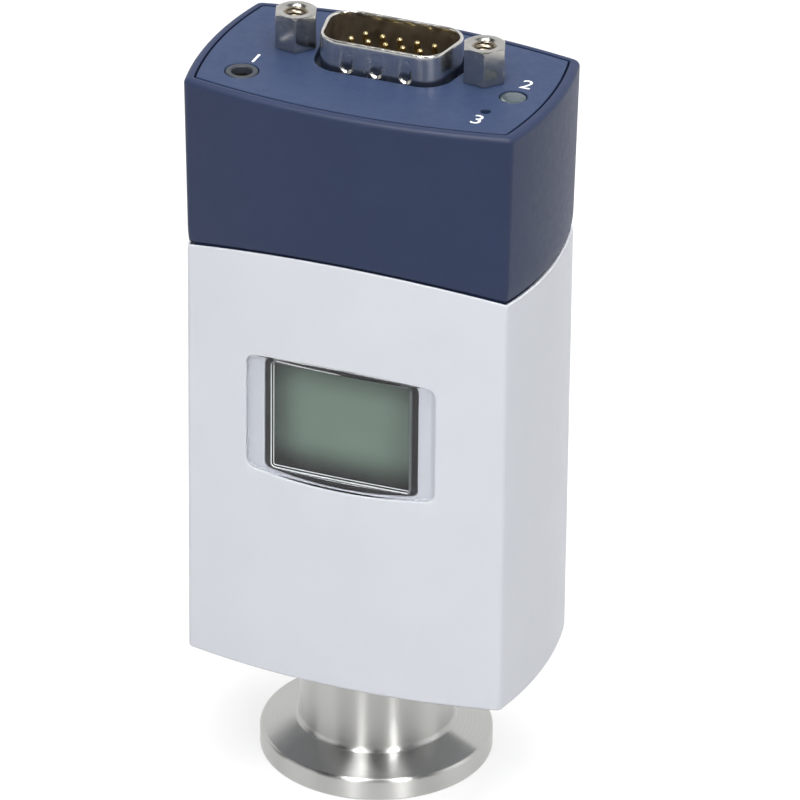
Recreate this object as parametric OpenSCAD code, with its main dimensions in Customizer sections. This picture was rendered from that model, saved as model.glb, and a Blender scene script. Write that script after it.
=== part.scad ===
// Pirani vacuum gauge with a small-flange sensor tube, a display and a 15-pin connector.
// The origin is the centre of the flange's sealing face, +Z runs up the tube,
// and the display looks along -Y.

/* [Body] */
// Width of the housing between its vertical edges
corner_w = 42.5; // [41:0.5:60]
// Depth of the housing between its vertical edges
corner_d = 23.4; // [23:0.2:40]
// How far the front and back bow out past the vertical edges
front_bow = 2.5; // [1.8:0.1:4]
// How far the sides bow out past the vertical edges
side_bow = 1.4; // [0.9:0.1:2.5]
// How far the vertical edges are trimmed back
edge_trim = 0.14; // [0.08:0.02:0.3]
// Bevel round the housing's underside
base_bevel = 0.4; // [0.2:0.1:0.8]
// Wall of the housing
housing_wall = 2; // [1.6:0.1:2.4]
// Floor of the housing
floor_t = 2.5; // [2:0.1:4]
// Height of the housing's underside above the flange face
neck_h = 15.6; // [14:0.2:30]
// Height of the housing from its underside to the crown of the seam
housing_h = 60.1; // [58:0.5:80]

/* [Cap] */
// Rise of the arched seam between its ends and its crown
seam_rise = 2.25; // [1:0.05:3]
// Height of the cap above the crown of the seam
cap_h = 20.8; // [20:0.2:30]
// Wall of the cap
cap_wall = 2.4; // [2.2:0.1:2.8]
// How far the cap leans out at its top
cap_flare = 0.4; // [0.1:0.05:0.8]
// How far the cap's lower edge draws in at the seam
cap_tuck = 0.26; // [0.1:0.02:0.5]
// Height over which the lower edge draws in
tuck_h = 3; // [2:0.5:5]
// Rounding of the cap's top edge
cap_edge_r = 0.8; // [0.4:0.1:1]
// Height of the shadow groove along the seam
groove_h = 0.4; // [0.2:0.05:0.6]
// Depth of the shadow groove along the seam
groove_depth = 0.5; // [0.3:0.1:0.8]
// Thickness of the housing's upright edge in front of the groove
seam_edge_t = 0.3; // [0.2:0.05:0.4]
// How far the cap's seat lies under that edge
seam_drop = 0.5; // [0.3:0.1:0.8]
// Length of the lip that locates the cap in the housing
lip_h = 3; // [2:0.5:6]
// Thickness of that lip
lip_t = 1.2; // [1:0.1:1.6]

/* [Top plate] */
// Thickness of the inset top plate
plate_t = 2; // [1.6:0.1:2.4]
// Width of the cap's rim round the plate
rim_w = 1.2; // [1:0.05:1.4]
// Groove between the rim and the plate
plate_gap = 0.25; // [0.15:0.05:0.4]

/* [Display] */
// Height of the window's centre above the housing's underside
window_z = 37.1; // [34:0.5:42]
// Width of the clear lens
lens_w = 25.1; // [24:0.1:28]
// Height of the lens at its ends
lens_h = 15.9; // [15:0.1:18]
// Bow of the lens's long edges
lens_bow = 0.65; // [0.3:0.05:1]
// Rounding of the lens's corners
lens_r = 1.3; // [0.8:0.1:2]
// Thickness of the lens
lens_t = 0.9; // [0.7:0.1:1.1]
// Width of the seat under the lens at its ends
ledge_end = 2.3; // [1.8:0.1:3]
// Width of the seat under the lens along its long edges
ledge_long = 0.1; // [0.05:0.05:0.3]
// Rounding of the corners of the opening behind the lens
opening_r = 0.9; // [0.6:0.1:1.2]
// How far the lens's plug reaches into the opening at the plug's ends
plug_t = 0.4; // [0.2:0.1:0.6]
// Gap at that plug's ends in the opening
plug_gap_end = 0.85; // [0.6:0.05:1]
// Gap along that plug's long edges in the opening
plug_gap_long = 0.25; // [0.15:0.05:0.35]
// Rounding of the plug's corners
plug_r = 0.6; // [0.4:0.1:1]
// Gap between the plug and the display glass
lcd_gap = 0.25; // [0.15:0.05:0.4]
// Thickness of the display glass
lcd_t = 1.9; // [1.6:0.1:2.2]
// How much wider the display's carrier is than its glass, on each side
carrier_border = 2; // [1.5:0.1:2.5]
// Thickness of the carrier
carrier_t = 2; // [1.8:0.1:3]
// Thickness of the backlight plate
backlight_t = 2; // [1.5:0.1:3]

/* [Connector] */
// Distance of the connector's centre behind the gauge's axis
connector_y = 2.4; // [1.8:0.1:3]
// Width inside the shell at its wide side
shell_in_w = 16.92; // [16.9:0.01:17]
// Height inside the shell
shell_in_h = 8.36; // [8.3:0.01:8.4]
// Lean of the shell's short sides
shell_angle = 10; // [8:1:12]
// Rounding inside the shell's corners
shell_in_r = 2.6; // [2:0.1:3]
// Thickness of the shell's sheet
shell_t = 0.45; // [0.35:0.05:0.55]
// Height of the shell above the top plate
shell_h = 3.8; // [3:0.1:5]
// Ear of the shell's mounting flange outside a jackscrew
shell_ear = 2.9; // [2.4:0.1:3]
// Depth of the shell's mounting flange
shell_flange_d = 12.5; // [12:0.1:12.6]
// Gap round the shell in the top plate
shell_gap = 0.75; // [0.4:0.05:0.9]
// Radius of the grounding dimples in the shell
dimple_r = 1.2; // [0.8:0.05:1.4]
// Depth of those dimples
dimple_depth = 0.28; // [0.1:0.02:0.3]
// Length of a dimple between the centres of its round ends
dimple_run = 1.8; // [1:0.1:2]
// Height of the lower of those centres above the top plate
dimple_low = 0.6; // [0.4:0.1:0.8]
// Spacing of those dimples
dimple_pitch = 3.9; // [3.4:0.1:4.2]
// Spacing of the pins along a row
pin_pitch = 2.29; // [2.27:0.01:2.31]
// Spacing of the rows
row_pitch = 1.98; // [1.96:0.01:2]
// Diameter of a pin
pin_d = 0.76; // [0.74:0.01:0.8]
// Height of the pin tips above the top plate
pin_h = 2.4; // [1.5:0.1:3]
// Depth of the insulator's face under the top plate's surface
insulator_depth = 1; // [0.5:0.1:1.5]
// Width of the insulator under the shell
insulator_w = 18; // [17.8:0.1:18.2]

/* [Jackscrews] */
// Spacing of the two jackscrews
jackscrew_pitch = 24.99; // [24.9:0.01:25.1]
// Hexagon of a jackscrew across its flats
jackscrew_af = 5; // [4.7:0.05:5.1]
// Height of the hexagon above the top plate
jackscrew_h = 4.7; // [4:0.1:5.5]
// Angle at which the hexagons came to rest
jackscrew_turn = -10; // [-30:1:30]
// Bevel of the hexagon's corners
jackscrew_bevel = 0.4; // [0.2:0.05:0.5]
// Diameter of the threaded hole
jackscrew_hole_d = 2.3; // [2.1:0.1:2.5]
// Depth of the threaded hole
jackscrew_hole_depth = 4.2; // [3.5:0.1:4.4]
// Diameter of the stud
stud_d = 2.8; // [2.6:0.1:3]
// Length of the stud under the nut
stud_tail = 0.5; // [0.2:0.1:0.8]
// Nut across its flats
nut_af = 5.5; // [5:0.1:6]
// Height of the nut
nut_h = 2.4; // [2:0.1:2.6]

/* [Top controls] */
// Jack centre, from the axis to the left
jack_x = -15.8; // [-16.2:0.1:-15.2]
// Distance of the jack's centre behind the housing's front edges
jack_front = 4.6; // [4.4:0.1:4.8]
// Diameter of the jack's nose
jack_nose_d = 4.1; // [3.9:0.1:4.3]
// Diameter of the jack's bore
jack_bore_d = 2.6; // [2.5:0.05:2.7]
// Bevel at the jack's mouth
jack_mouth = 0.15; // [0.05:0.05:0.3]
// Wall of the jack's metal sleeve
jack_sleeve_t = 0.35; // [0.25:0.05:0.4]
// Depth of the sleeve under the top plate's surface
jack_sleeve_depth = 1; // [0.6:0.1:1.5]
// Width of the jack's body
jack_body_w = 4.9; // [4.6:0.1:5]
// Floor under the jack's bore
jack_floor = 1.2; // [0.8:0.1:2]
// Status light centre, from the axis to the right
light_x = 17.6; // [17.3:0.1:17.8]
// Distance of the status light's centre behind the housing's front edges
light_front = 10.7; // [10.3:0.1:11.1]
// Diameter of the light pipe
light_d = 3.3; // [3:0.1:3.5]
// Gap round the light pipe in the top plate
light_gap = 0.1; // [0.05:0.05:0.15]
// Height of the lamp under the pipe
lamp_h = 1.5; // [1:0.1:2]
// Width of the lamp
lamp_w = 2.2; // [1.8:0.1:2.4]
// Adjustment hole, from the axis to the right
adjust_x = 15.9; // [15.6:0.1:16.2]
// Distance of the adjustment hole behind the housing's front edges
adjust_front = 5.7; // [5.4:0.1:6]
// Diameter of the adjustment hole
adjust_hole_d = 1.25; // [1:0.05:1.5]
// Width of the push switch
switch_w = 3.5; // [3.2:0.1:3.6]
// Height of the push switch
switch_h = 3.4; // [3:0.1:4]
// Diameter of its button
button_d = 1.8; // [1.4:0.1:2]
// Travel of its button
button_travel = 0.3; // [0.2:0.05:0.4]
// Gap between the button's top and the top plate
button_gap = 0.4; // [0.2:0.05:0.8]

/* [Flange] */
// Diameter of the small flange
flange_d = 30; // [29.9:0.05:30.1]
// Height of the flange's rim
flange_rim_h = 3; // [2.6:0.1:3.2]
// Angle of the flange's clamping face
flange_angle = 15; // [14:0.5:16]
// Bevel of the rim's edges
flange_edge = 0.45; // [0.2:0.05:0.6]
// Fillet where the tube leaves the flange
flange_fillet_r = 1; // [0.6:0.1:1.4]
// Diameter of the centring recess
recess_d = 17.2; // [17.1:0.05:17.3]
// Depth of the centring recess
recess_depth = 3; // [2.5:0.1:3.4]
// Outer diameter of the tube
tube_d = 19.8; // [19.4:0.1:20.4]
// Bore of the tube
tube_bore_d = 16; // [15.6:0.1:16.2]

/* [Sensor] */
// Diameter of the tube's threaded end inside the housing
spigot_d = 18; // [17.6:0.1:18.4]
// Length of that end above the housing's floor
spigot_h = 6; // [5:0.5:8]
// Wall of the ring nut round the tube's threaded end
ring_nut_wall = 2.2; // [1.8:0.1:2.4]
// Height of the ring nut
ring_nut_h = 3; // [2.5:0.1:4]
// Notches in the ring nut
ring_nut_notches = 4; // [3:1:6]
// Width of a notch
notch_w = 2.4; // [1.5:0.1:3]
// Thickness of the feedthrough disc
header_t = 2; // [1.5:0.1:3]
// Distance of the feedthrough pins from the axis
header_pin_r = 2.5; // [2:0.1:4]
// Diameter of a feedthrough pin
header_pin_d = 0.8; // [0.6:0.1:1]
// Diameter of a glass seal
glass_d = 2; // [1.6:0.1:2.4]
// Height of the filament's lower end above the flange face
filament_z = 7; // [5:0.5:9]
// Diameter of the filament's coil
filament_d = 0.3; // [0.2:0.05:0.5]
// Length of the plain pins under the disc
pin_tail = 3; // [2:0.5:4]

/* [Boards] */
// Thickness of the circuit boards
board_t = 1.6; // [1.2:0.1:1.8]
// Space between the connector board and the top plate
connector_space = 8.5; // [8.2:0.1:9]
// Gap between the connector board and the cap's wall
board_gap = 0.3; // [0.2:0.05:0.5]
// Distance of the main board's face behind the axis
main_board_y = 6; // [5.6:0.1:6.4]
// Width of the main board
main_board_w = 34; // [28:0.5:34.5]
// Height of the sensor board above the feedthrough disc
sensor_board_gap = 4; // [3:0.5:6]
// Width of the sensor board
sensor_board_w = 18; // [14:0.5:24]
// Depth of the sensor board in front of the main board
sensor_board_d = 13; // [10:0.5:14]
// Width of the display board
display_board_w = 28; // [26:0.5:30]
// Height of the display board
display_board_h = 25; // [22:0.5:27]
// Width of the plug strips between the boards
strip_w = 16; // [10:0.5:20]
// Height of a plug strip
strip_h = 2.5; // [2:0.1:3]
// Reach of the plug strip under the connector board
strip_reach = 4; // [3:0.1:5]

/* [Clearances] */
// Gap between pieces that are pushed together
fit_gap = 0.1; // [0.05:0.05:0.2]
// Gap between a screw or stud and its hole
screw_gap = 0.1; // [0.05:0.05:0.2]
// Gap round the button in its switch
button_fit = 0.05; // [0.03:0.01:0.1]

/* [Hidden] */
$fn = 96;
// Facets of a full turn on the large bowed faces round the window
arc_fn = 480;

// Blue and white of the body
cap_blue = [0.2, 0.24, 0.36];
body_white = [0.84, 0.86, 0.89];
board_green = [0.1, 0.32, 0.2];
nickel = [0.74, 0.73, 0.7];

// Overlap that keeps cuts clean, and a length past every piece
cut = 1;
far = 100;

// Bowed faces of the body
front_r = bow_radius(corner_w / 2, front_bow);
side_r = bow_radius(corner_d / 2, side_bow);
front_c = corner_d / 2 + front_bow - front_r;
side_c = corner_w / 2 + side_bow - side_r;

// Levels of the body
seam_z = neck_h + housing_h;
seam_r = bow_radius(corner_w / 2, seam_rise);
seam_end_z = seam_z - seam_rise;
top_z = seam_z + cap_h;
plate_z = top_z - plate_t;
floor_z = neck_h + floor_t;

// Offsets of the section for the pieces that follow it
lip_grow = -housing_wall - fit_gap;
pocket_grow = cap_flare - rim_w;
plate_grow = pocket_grow - plate_gap;
board_grow = min(-cap_wall, lip_grow - lip_t) - board_gap;
// Lower end of the cap's side discs, under the lowest point of the seam
cap_low_z = seam_end_z - cut;
tuck_steps = 6;

// Window and display
window_mid = neck_h + window_z;
bow_steps = 8;
opening_w = lens_w - 2 * ledge_end;
opening_h = lens_h - 2 * ledge_long;
plug_w = opening_w - 2 * plug_gap_end;
plug_h = opening_h - 2 * plug_gap_long;
plug_y = face_y(plug_w / 2) + lens_t + plug_t;
lcd_y = plug_y + lcd_gap;
carrier_w = plug_w + 2 * carrier_border;
carrier_h = plug_h + 2 * carrier_border;
carrier_y = face_y(carrier_w / 2) + housing_wall + fit_gap;
backlight_y = carrier_y + carrier_t + fit_gap;
display_board_y = backlight_y + backlight_t;

// Connector
shell_z = plate_z - shell_t;
shell_top_z = top_z + shell_h;
jackscrew_x = jackscrew_pitch / 2;
shell_hole_d = stud_d + 2 * screw_gap;
shell_flange_w = jackscrew_pitch + 2 * shell_ear;
board_top_z = plate_z - connector_space;
board_low_z = board_top_z - board_t;
pins_per_row = 5;
pin_rows = 3;
dimples = 3;

// Jack, light and switch
jack_y = jack_front - corner_d / 2;
light_y = light_front - corner_d / 2;
adjust_y = adjust_front - corner_d / 2;
jack_low_z = board_top_z;
// Shoulder of the jack, clear of the connector's flange
jack_shoulder_z = shell_z - fit_gap;
jack_sleeve_z = top_z - jack_sleeve_depth;
jack_sleeve_d = jack_bore_d + 2 * jack_sleeve_t;
lamp_top_z = board_top_z + lamp_h;
switch_top_z = board_top_z + switch_h;
button_top_z = plate_z - button_gap;
button_stem = 1.2;

// Sensor
spigot_top_z = floor_z + spigot_h;
ring_nut_bore_d = spigot_d + 2 * screw_gap;
ring_nut_d = ring_nut_bore_d + 2 * ring_nut_wall;
header_top_z = spigot_top_z + header_t;
sensor_board_z = header_top_z + sensor_board_gap;
main_board_low_z = sensor_board_z - board_t;
main_board_top_z = board_low_z - fit_gap;
header_pins = 4;
pin_end_z = spigot_top_z - pin_tail;
strip_low_z = board_low_z - strip_h;
display_strip_z = window_mid + lens_h / 2;

// Radius of an arc of the given half chord and bow
function bow_radius(half, bow) = (half * half + bow * bow) / (2 * bow);

// Front face of the body at a distance from its middle plane
function face_y(x) = -front_c - sqrt(front_r * front_r - x * x);

// Distance from the axis to the sharp corner of the body's section, grown by an offset
function corner_reach(grow) =
    let (
        ry = front_r + grow,
        rx = side_r + grow,
        apart = norm([side_c, front_c]),
        along = (ry * ry - rx * rx + apart * apart) / (2 * apart),
        across = sqrt(ry * ry - along * along),
        dir = [side_c, -front_c] / apart
    )
    norm([along * dir[0] + across * dir[1], front_c + along * dir[1] - across * dir[0]]);

// Cross-section of the body, grown by an offset: four bowed sides and trimmed corners
module body_outline(grow = 0) {
    ry = front_r + grow;
    rx = side_r + grow;
    intersection() {
        translate([0, front_c]) circle(ry);
        translate([0, -front_c]) circle(ry);
        translate([side_c, 0]) circle(rx);
        translate([-side_c, 0]) circle(rx);
        circle(corner_reach(grow) - edge_trim);
    }
}

// Slab with the body's cross-section between two levels
module body_slab(low_z, high_z, grow = 0) {
    translate([0, 0, low_z])
        linear_extrude(high_z - low_z)
            body_outline(grow);
}

// Everything under the arched seam, raised by a lift
module under_seam(lift = 0) {
    translate([0, far, seam_z - seam_r + lift])
        rotate([90, 0, 0])
            cylinder(r = seam_r, h = 2 * far);
}

// Bevelled cones that trim the four edges of the underside
module base_trim() {
    intersection() {
        for_front(1) trim_cone(front_r);
        for_front(-1) trim_cone(front_r);
        for_side(1) trim_cone(side_r);
        for_side(-1) trim_cone(side_r);
    }
}

module trim_cone(r) {
    translate([0, 0, neck_h])
        cylinder(r1 = r - base_bevel, r2 = r - base_bevel + far, h = far);
}

// Places a disc on the centre of the front or back arc
module for_front(side) {
    translate([0, side * front_c, 0]) children();
}

// Places a disc on the centre of a side arc
module for_side(side) {
    translate([side * side_c, 0, 0]) children();
}

// Window outline, seen from the front: round corners and long edges that bow out
module window_outline(w, h, r, bow) {
    reach = w / 2 - r;
    hull()
        for (i = [-bow_steps : bow_steps], side = [-1, 1])
            let (s = i / bow_steps)
            translate([s * reach, side * (h / 2 - r + bow * (1 - s * s))])
                circle(r, $fn = 32);
}

// Window outline as a bar through the front wall
module window_bar(w, h, r, bow) {
    translate([0, 0, window_mid])
        rotate([90, 0, 0])
            linear_extrude(far)
                window_outline(w, h, r, bow);
}

// Layer of the bowed front between two depths under its surface
module front_layer(high, low) {
    translate([0, -front_c, window_mid - lens_h])
        difference() {
            cylinder(r = front_r - high, h = 2 * lens_h, $fn = arc_fn);
            translate([0, 0, -cut])
                cylinder(r = front_r - low, h = 2 * lens_h + 2 * cut, $fn = arc_fn);
        }
}

// Box centred on a point in plan, from one level up
module block(centre, w, d, low_z, h) {
    translate([centre[0] - w / 2, centre[1] - d / 2, low_z])
        cube([w, d, h]);
}

// Upright rod between two levels
module rod(centre, d, low_z, high_z) {
    translate([centre[0], centre[1], low_z])
        cylinder(d = d, h = high_z - low_z);
}

module housing() {
    color(body_white)
        difference() {
            intersection() {
                body_slab(neck_h, seam_z + cut);
                under_seam();
                base_trim();
            }
            body_slab(floor_z, seam_z + 2 * cut, -housing_wall);
            difference() {
                body_slab(cap_low_z - cut, seam_z + 2 * cut, -seam_edge_t);
                under_seam(-seam_drop);
            }
            intersection() {
                window_bar(lens_w + 2 * fit_gap, lens_h + 2 * fit_gap, lens_r + fit_gap, lens_bow);
                front_layer(-cut, lens_t);
            }
            intersection() {
                window_bar(opening_w, opening_h, opening_r, lens_bow);
                front_layer(-cut, 2 * housing_wall);
            }
            rod([0, 0], ring_nut_bore_d, neck_h - cut, floor_z + cut);
        }
}

// Disc whose edge is one side of the cap: drawn in at the seam, leaning out, rounded at the top
module cap_disc(r) {
    tuck_z = seam_end_z + tuck_h;
    lean_r = r + cap_flare;
    rotate_extrude()
        difference() {
            polygon([
                [0, cap_low_z],
                [r - cap_tuck, cap_low_z],
                for (i = [0 : tuck_steps])
                    let (s = i / tuck_steps)
                    [r - cap_tuck * (1 - s) * (1 - s), seam_end_z + s * tuck_h],
                [lean_r, top_z],
                [0, top_z]
            ]);
            translate([lean_r - cap_edge_r, top_z - cap_edge_r])
                difference() {
                    square(cap_edge_r + cut);
                    circle(cap_edge_r);
                }
        }
}

// Cone that trims the cap's upright edges
module cap_corner_trim() {
    translate([0, 0, cap_low_z])
        cylinder(
            r1 = corner_reach(-cap_tuck) - edge_trim,
            r2 = corner_reach(cap_flare) - edge_trim,
            h = top_z - cap_low_z
        );
}

module cap() {
    color(cap_blue) {
        difference() {
            intersection() {
                for_front(1) cap_disc(front_r);
                for_front(-1) cap_disc(front_r);
                for_side(1) cap_disc(side_r);
                for_side(-1) cap_disc(side_r);
                cap_corner_trim();
            }
            under_seam(-seam_drop);
            difference() {
                under_seam(groove_h);
                body_slab(cap_low_z - cut, seam_z + 2 * cut, -cap_tuck - groove_depth);
            }
            body_slab(cap_low_z - cut, plate_z, -cap_wall);
            body_slab(plate_z, top_z + cut, pocket_grow);
        }
        difference() {
            body_slab(seam_end_z - lip_h, seam_z + 2 * cut, lip_grow);
            body_slab(seam_end_z - lip_h - cut, seam_z + 3 * cut, lip_grow - lip_t);
        }
    }
}

module top_plate() {
    color(cap_blue)
        difference() {
            body_slab(plate_z, top_z, plate_grow);
            translate([0, connector_y, plate_z - cut])
                linear_extrude(plate_t + 2 * cut)
                    shell_outline(shell_t + shell_gap);
            for (side = [-1, 1])
                rod([side * jackscrew_x, connector_y], shell_hole_d, plate_z - cut, top_z + cut);
            rod([jack_x, jack_y], jack_nose_d + 2 * fit_gap, plate_z - cut, top_z + cut);
            rod([light_x, light_y], light_d + 2 * light_gap, plate_z - cut, top_z + cut);
            rod([adjust_x, adjust_y], adjust_hole_d, plate_z - cut, top_z + cut);
        }
}

// Curved window with a flat plug behind it that reaches into the opening
module display_lens() {
    color([0.85, 0.88, 0.9, 0.4])
        union() {
            intersection() {
                window_bar(lens_w, lens_h, lens_r, lens_bow);
                front_layer(0, lens_t);
            }
            intersection() {
                window_bar(plug_w, plug_h, plug_r, 0);
                front_layer(lens_t / 2, 2 * housing_wall);
                translate([-lens_w, plug_y - far, window_mid - lens_h])
                    cube([2 * lens_w, far, 2 * lens_h]);
            }
        }
}

module display_glass() {
    color([0.42, 0.48, 0.43])
        translate([-plug_w / 2, lcd_y, window_mid - plug_h / 2])
            cube([plug_w, lcd_t, plug_h]);
}

module display_carrier() {
    seat_w = plug_w + 2 * fit_gap;
    seat_h = plug_h + 2 * fit_gap;
    color([0.16, 0.16, 0.17])
        difference() {
            translate([-carrier_w / 2, carrier_y, window_mid - carrier_h / 2])
                cube([carrier_w, carrier_t, carrier_h]);
            translate([-seat_w / 2, carrier_y - cut, window_mid - seat_h / 2])
                cube([seat_w, lcd_y + lcd_t - carrier_y + cut, seat_h]);
        }
}

module backlight() {
    color([0.92, 0.93, 0.9])
        translate([-plug_w / 2, backlight_y, window_mid - plug_h / 2])
            cube([plug_w, backlight_t, plug_h]);
}

module display_board() {
    color(board_green)
        translate([-display_board_w / 2, display_board_y, window_mid - display_board_h / 2])
            cube([display_board_w, board_t, display_board_h]);
}

// D-shaped outline of the connector, wide side to the back
module shell_outline(grow = 0) {
    mid_y = shell_in_h / 2 - shell_in_r;
    wide_x = shell_in_w / 2 - shell_in_r;
    narrow_x = wide_x - 2 * mid_y * tan(shell_angle);
    hull() {
        for (side = [-1, 1]) {
            translate([side * wide_x, mid_y]) circle(shell_in_r + grow, $fn = 48);
            translate([side * narrow_x, -mid_y]) circle(shell_in_r + grow, $fn = 48);
        }
    }
}

module connector_shell() {
    wall_y = connector_y - shell_in_h / 2 - shell_t;
    color(nickel)
        difference() {
            union() {
                block([0, connector_y], shell_flange_w, shell_flange_d, shell_z, shell_t);
                translate([0, connector_y, shell_z])
                    linear_extrude(shell_top_z - shell_z)
                        shell_outline(shell_t);
            }
            translate([0, connector_y, shell_z - cut])
                linear_extrude(shell_top_z - shell_z + 2 * cut)
                    shell_outline();
            for (side = [-1, 1])
                rod([side * jackscrew_x, connector_y], shell_hole_d, shell_z - cut, plate_z + cut);
            for (i = [0 : dimples - 1])
                translate([
                    (i - (dimples - 1) / 2) * dimple_pitch,
                    wall_y - dimple_r + dimple_depth,
                    top_z + dimple_low
                ]) {
                    sphere(dimple_r);
                    cylinder(r = dimple_r, h = dimple_run);
                    translate([0, 0, dimple_run]) sphere(dimple_r);
                }
        }
}

// Children at each pin of the connector, rows staggered by half a pitch
module at_pins() {
    for (row = [0 : pin_rows - 1], i = [0 : pins_per_row - 1])
        translate([
            (i - (pins_per_row - 1) / 2 + (row == 1 ? -0.25 : 0.25)) * pin_pitch,
            connector_y + (row - (pin_rows - 1) / 2) * row_pitch,
            0
        ])
            children();
}

module connector_insulator() {
    color([0.12, 0.1, 0.09])
        difference() {
            union() {
                translate([0, connector_y, shell_z])
                    linear_extrude(top_z - insulator_depth - shell_z)
                        shell_outline(-fit_gap);
                block([0, connector_y], insulator_w, shell_in_h, board_top_z, shell_z - board_top_z);
            }
            at_pins() rod([0, 0], pin_d, board_top_z - cut, top_z);
        }
}

module connector_pins() {
    color([0.85, 0.68, 0.3])
        at_pins() {
            rod([0, 0], pin_d, board_low_z, top_z + pin_h - pin_d / 2);
            translate([0, 0, top_z + pin_h - pin_d / 2]) sphere(d = pin_d);
        }
}

module jackscrews() {
    hex_r = jackscrew_af / 2 / cos(30);
    hex_top_z = top_z + jackscrew_h;
    color(nickel)
        for (side = [-1, 1])
            translate([side * jackscrew_x, connector_y, 0])
                difference() {
                    union() {
                        intersection() {
                            translate([0, 0, top_z])
                                rotate(jackscrew_turn)
                                    cylinder(r = hex_r, h = jackscrew_h, $fn = 6);
                            translate([0, 0, top_z])
                                cylinder(
                                    r1 = hex_r - jackscrew_bevel + jackscrew_h / tan(30),
                                    r2 = hex_r - jackscrew_bevel,
                                    h = jackscrew_h
                                );
                        }
                        rod([0, 0], stud_d, shell_z - nut_h - stud_tail, top_z + cut);
                    }
                    rod([0, 0], jackscrew_hole_d, hex_top_z - jackscrew_hole_depth, hex_top_z + cut);
                }
}

module jackscrew_nuts() {
    color(nickel)
        for (side = [-1, 1])
            translate([side * jackscrew_x, connector_y, shell_z - nut_h])
                difference() {
                    cylinder(r = nut_af / 2 / cos(30), h = nut_h, $fn = 6);
                    rod([0, 0], stud_d + 2 * screw_gap, -cut, nut_h + cut);
                }
}

module jack_body() {
    color([0.08, 0.08, 0.09])
        difference() {
            union() {
                block(
                    [jack_x, jack_y], jack_body_w, jack_body_w,
                    jack_low_z, jack_shoulder_z - jack_low_z
                );
                rod([jack_x, jack_y], jack_nose_d, jack_shoulder_z - cut, top_z);
            }
            rod([jack_x, jack_y], jack_sleeve_d, jack_low_z + jack_floor, jack_sleeve_z);
            rod([jack_x, jack_y], jack_bore_d, jack_sleeve_z - cut, top_z + cut);
            translate([jack_x, jack_y, top_z - jack_mouth])
                cylinder(d1 = jack_bore_d, d2 = jack_bore_d + 4 * jack_mouth, h = 2 * jack_mouth);
        }
}

module jack_sleeve() {
    color(nickel)
        difference() {
            rod([jack_x, jack_y], jack_sleeve_d, jack_low_z + jack_floor, jack_sleeve_z);
            rod([jack_x, jack_y], jack_bore_d, jack_low_z + jack_floor - cut, jack_sleeve_z + cut);
        }
}

module light_pipe() {
    color([0.75, 0.8, 0.74, 0.6])
        rod([light_x, light_y], light_d, lamp_top_z, top_z);
}

module status_lamp() {
    color([0.9, 0.9, 0.8])
        block([light_x, light_y], lamp_w, lamp_w, board_top_z, lamp_h);
}

module adjust_switch() {
    color([0.1, 0.1, 0.1])
        difference() {
            block([adjust_x, adjust_y], switch_w, switch_w, board_top_z, switch_h);
            rod(
                [adjust_x, adjust_y], button_d + 2 * button_fit,
                switch_top_z - button_stem - button_travel, switch_top_z + cut
            );
        }
}

module adjust_button() {
    color([0.3, 0.3, 0.32])
        rod([adjust_x, adjust_y], button_d, switch_top_z - button_stem, button_top_z);
}

module connector_board() {
    color(board_green)
        difference() {
            body_slab(board_low_z, board_top_z, board_grow);
            at_pins() rod([0, 0], pin_d, board_low_z - cut, board_top_z + cut);
        }
}

module board_strip() {
    color([0.1, 0.1, 0.1])
        translate([-strip_w / 2, main_board_y - strip_reach, strip_low_z])
            cube([strip_w, strip_reach, strip_h]);
}

module main_board() {
    color(board_green)
        translate([-main_board_w / 2, main_board_y, main_board_low_z])
            cube([main_board_w, board_t, main_board_top_z - main_board_low_z]);
}

module display_strip() {
    strip_y = display_board_y + board_t;
    color([0.1, 0.1, 0.1])
        translate([-strip_w / 2, strip_y, display_strip_z])
            cube([strip_w, main_board_y - strip_y, strip_h]);
}

module sensor_board() {
    color(board_green)
        difference() {
            translate([-sensor_board_w / 2, main_board_y - sensor_board_d, sensor_board_z])
                cube([sensor_board_w, sensor_board_d, board_t]);
            at_header_pins() rod([0, 0], header_pin_d, sensor_board_z - cut, sensor_board_z + far);
        }
}

// Flange and tube, turned from one bar
module sensor_flange() {
    rim_r = flange_d / 2;
    tube_r = tube_d / 2;
    slope = tan(flange_angle);
    fillet_x = tube_r + flange_fillet_r;
    fillet_z = flange_rim_h + (rim_r - fillet_x) * slope + flange_fillet_r / cos(flange_angle);
    touch_x = fillet_x - flange_fillet_r * sin(flange_angle);
    touch_z = fillet_z - flange_fillet_r * cos(flange_angle);
    color([0.75, 0.75, 0.74])
        rotate_extrude()
            difference() {
                polygon([
                    [tube_bore_d / 2, 0],
                    [rim_r - flange_edge, 0],
                    [rim_r, flange_edge],
                    [rim_r, flange_rim_h - flange_edge],
                    [rim_r - flange_edge, flange_rim_h + flange_edge * slope],
                    [touch_x, touch_z],
                    [fillet_x, fillet_z],
                    [tube_r, fillet_z],
                    [tube_r, neck_h],
                    [spigot_d / 2, neck_h],
                    [spigot_d / 2, spigot_top_z],
                    [tube_bore_d / 2, spigot_top_z]
                ]);
                translate([fillet_x, fillet_z]) circle(flange_fillet_r);
                translate([0, -cut]) square([recess_d / 2, recess_depth + cut]);
            }
}

module ring_nut() {
    color([0.72, 0.72, 0.7])
        difference() {
            rod([0, 0], ring_nut_d, floor_z, floor_z + ring_nut_h);
            rod([0, 0], ring_nut_bore_d, floor_z - cut, floor_z + ring_nut_h + cut);
            for (i = [0 : ring_nut_notches - 1])
                rotate(i * 360 / ring_nut_notches)
                    translate([ring_nut_d / 2 - notch_w / 2, -notch_w / 2, floor_z + ring_nut_h / 2])
                        cube([notch_w, notch_w, ring_nut_h]);
        }
}

// Children at each feedthrough pin
module at_header_pins() {
    for (i = [0 : header_pins - 1])
        rotate(i * 360 / header_pins)
            translate([header_pin_r, 0, 0])
                children();
}

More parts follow.
